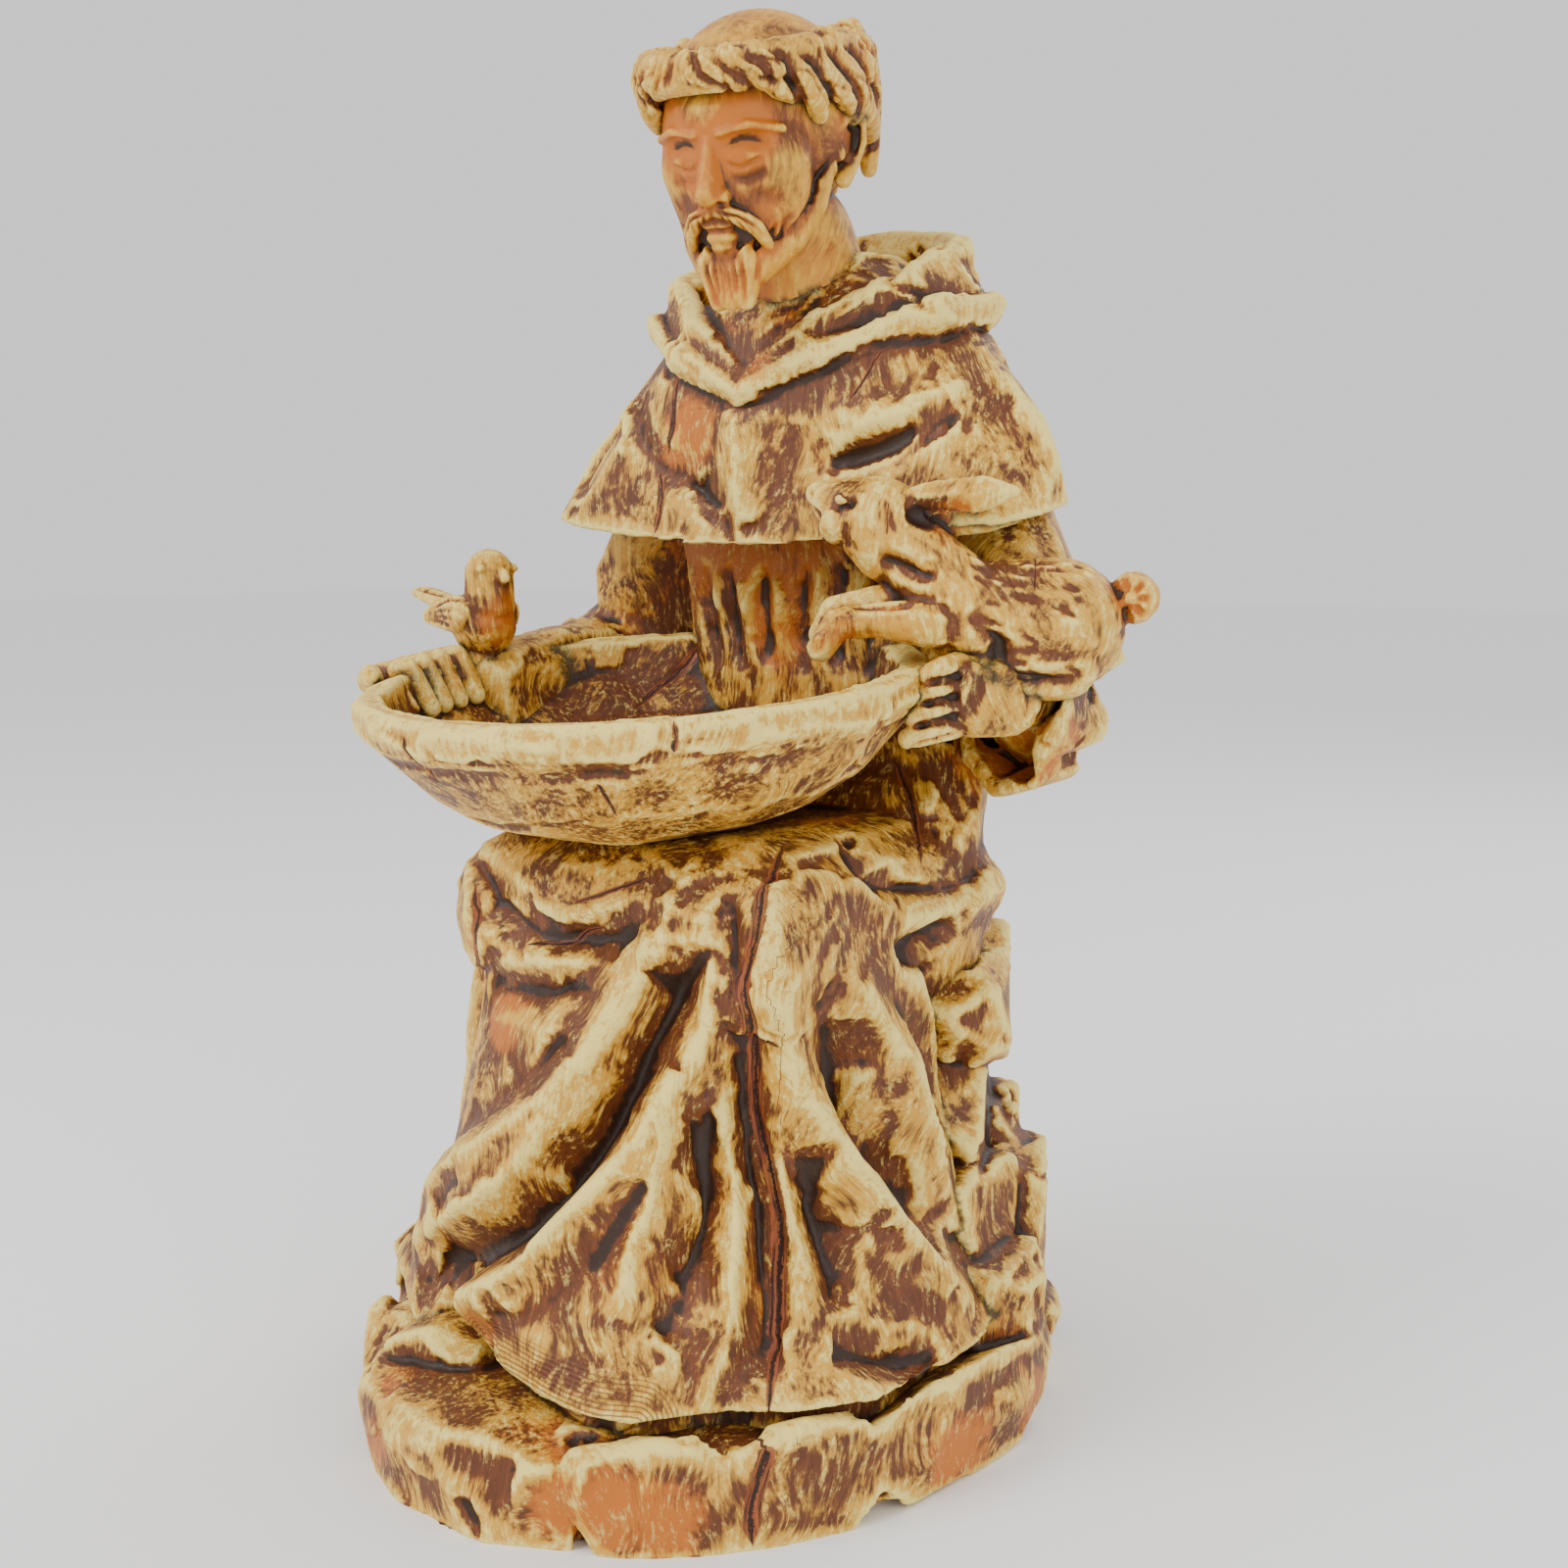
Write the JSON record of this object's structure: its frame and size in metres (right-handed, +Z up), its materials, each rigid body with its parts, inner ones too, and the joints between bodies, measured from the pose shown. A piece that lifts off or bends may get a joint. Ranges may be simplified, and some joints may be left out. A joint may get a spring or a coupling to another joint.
{
  "type": "garden statue of a seated friar with a bowl",
  "caption": "Carved-look statue of a seated friar in a hooded robe who holds a wide shallow bowl, with a rabbit on the forearm and a small bird on the rim.",
  "frame": {"origin": "middle of the underside of the base, on the ground", "axes": "+Z up, the figure faces -Y, its left hand with the rabbit is on the +X side"},
  "size_m": [0.208, 0.2135, 0.3607],
  "materials": {
    "stained_resin": "cast resin, brown stain under a cream dry-brushed paint, slight sheen"
  },
  "bodies": {
    "root": {"friar_statue": "stained_resin"}
  },
  "joints": []
}
